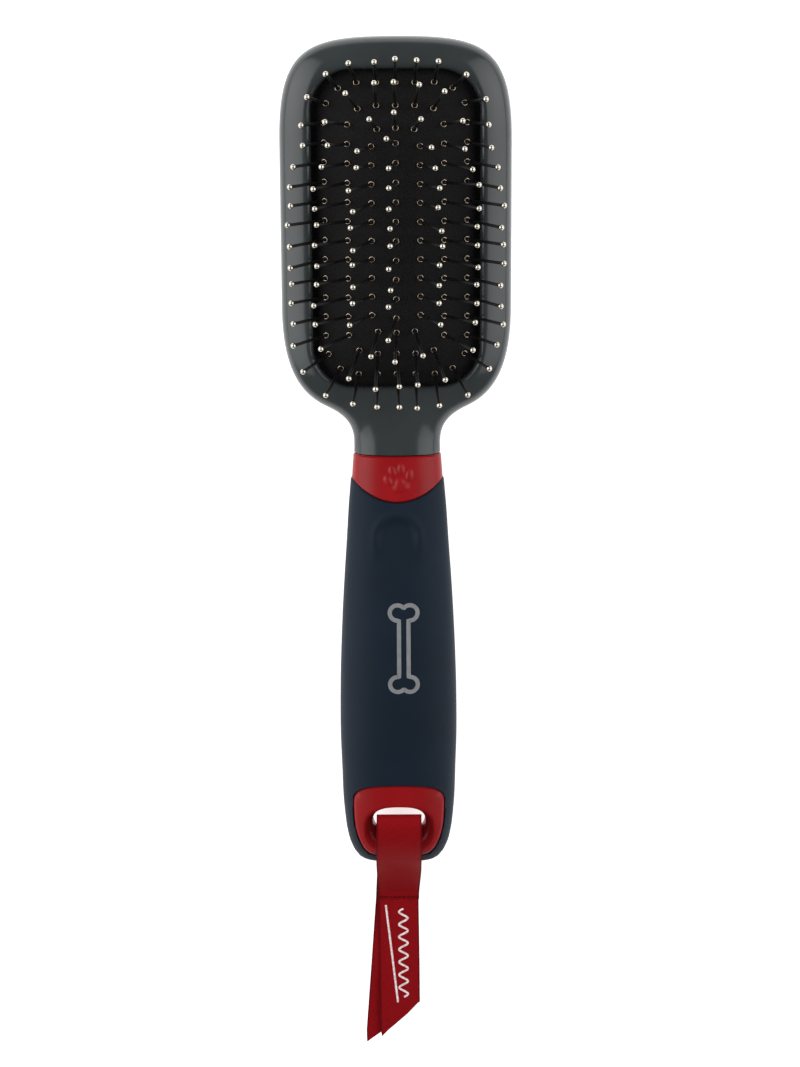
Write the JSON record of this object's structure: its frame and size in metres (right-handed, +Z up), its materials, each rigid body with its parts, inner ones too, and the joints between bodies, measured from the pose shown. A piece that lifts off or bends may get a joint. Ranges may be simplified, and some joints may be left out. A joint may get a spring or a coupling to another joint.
{
  "type": "bristle brush",
  "caption": "Paddle brush for grooming pets: ball-tipped wire pins on a domed rubber cushion, a rubber-covered handle with an eyelet, and a satin ribbon looped through it.",
  "frame": {"origin": "middle of the flat face on the back of the head, which the brush lies on", "axes": "+Z up out of the pins, +Y along the brush from handle to head, +X across the head"},
  "size_m": [0.0642, 0.3, 0.0414],
  "materials": {
    "head_plastic": "glossy slate-grey injection-moulded ABS",
    "inner_plastic": "as-moulded dark plastic, out of sight",
    "pad_rubber": "matt black rubber with a fine woven face",
    "pin_steel": "steel wire, dark shaft, bright ball tip and eyelet",
    "red_plastic": "red injection-moulded ABS, semi-gloss",
    "grip_rubber": "navy thermoplastic rubber with a soft, fine-grained surface",
    "ribbon_satin": "dark red polyester satin ribbon",
    "stitch_thread": "dark red sewing thread"
  },
  "bodies": {
    "brush": {"head_front_shell": "head_plastic", "head_back_shell": "head_plastic", "cushion_ring": "inner_plastic", "cushion_pad": "pad_rubber", "handle_core": "inner_plastic", "neck_collar": "red_plastic", "grip_sleeve": "grip_rubber", "end_insert": "red_plastic", "ribbon_wrap": "ribbon_satin"},
    "pins_centre": {"pins_centre_row": "pin_steel"},
    "pins_third": {"pins_third_head_row": "pin_steel", "pins_third_left_row": "pin_steel", "pins_third_tail_row": "pin_steel", "pins_third_right_row": "pin_steel"},
    "pins_second": {"pins_second_head_row": "pin_steel", "pins_second_left_row": "pin_steel", "pins_second_tail_row": "pin_steel", "pins_second_right_row": "pin_steel"},
    "pins_outer": {"pins_outer_head_row": "pin_steel", "pins_outer_left_row": "pin_steel", "pins_outer_tail_row": "pin_steel", "pins_outer_right_row": "pin_steel"},
    "ribbon_end": {"ribbon_lower_loop": "ribbon_satin", "ribbon_stitch": "stitch_thread", "ribbon_back_tail": "ribbon_satin"},
    "front_tail": {"ribbon_front_tail": "ribbon_satin"}
  },
  "joints": [
    {"name": "cushion_press", "type": "slide", "parent": "brush", "child": "pins_centre", "axis": [0, 0, -1], "range_m": [0, 0.004], "stiffness_N_per_m": 800, "deforming": ["cushion_pad"]},
    {"name": "third_ring_press", "type": "slide", "parent": "brush", "child": "pins_third", "axis": [0, 0, -1], "range_m": [0, 0.0036]},
    {"name": "second_ring_press", "type": "slide", "parent": "brush", "child": "pins_second", "axis": [0, 0, -1], "range_m": [0, 0.0025]},
    {"name": "outer_ring_press", "type": "slide", "parent": "brush", "child": "pins_outer", "axis": [0, 0, -1], "range_m": [0, 0.0009]},
    {"name": "ribbon_swing", "type": "hinge", "parent": "brush", "child": "ribbon_end", "pos_m": [0, -0.1886, 0.0115], "axis": [-1, 0, 0], "range_deg": [0, 70]},
    {"name": "front_tail_lift", "type": "hinge", "parent": "ribbon_end", "child": "front_tail", "pos_m": [0, -0.2014, 0.001], "axis": [-1, 0, 0], "range_deg": [0, 60]}
  ],
  "couplings": [
    {"joint": "third_ring_press", "follows": "cushion_press", "ratio": 0.89},
    {"joint": "second_ring_press", "follows": "cushion_press", "ratio": 0.61},
    {"joint": "outer_ring_press", "follows": "cushion_press", "ratio": 0.22}
  ]
}
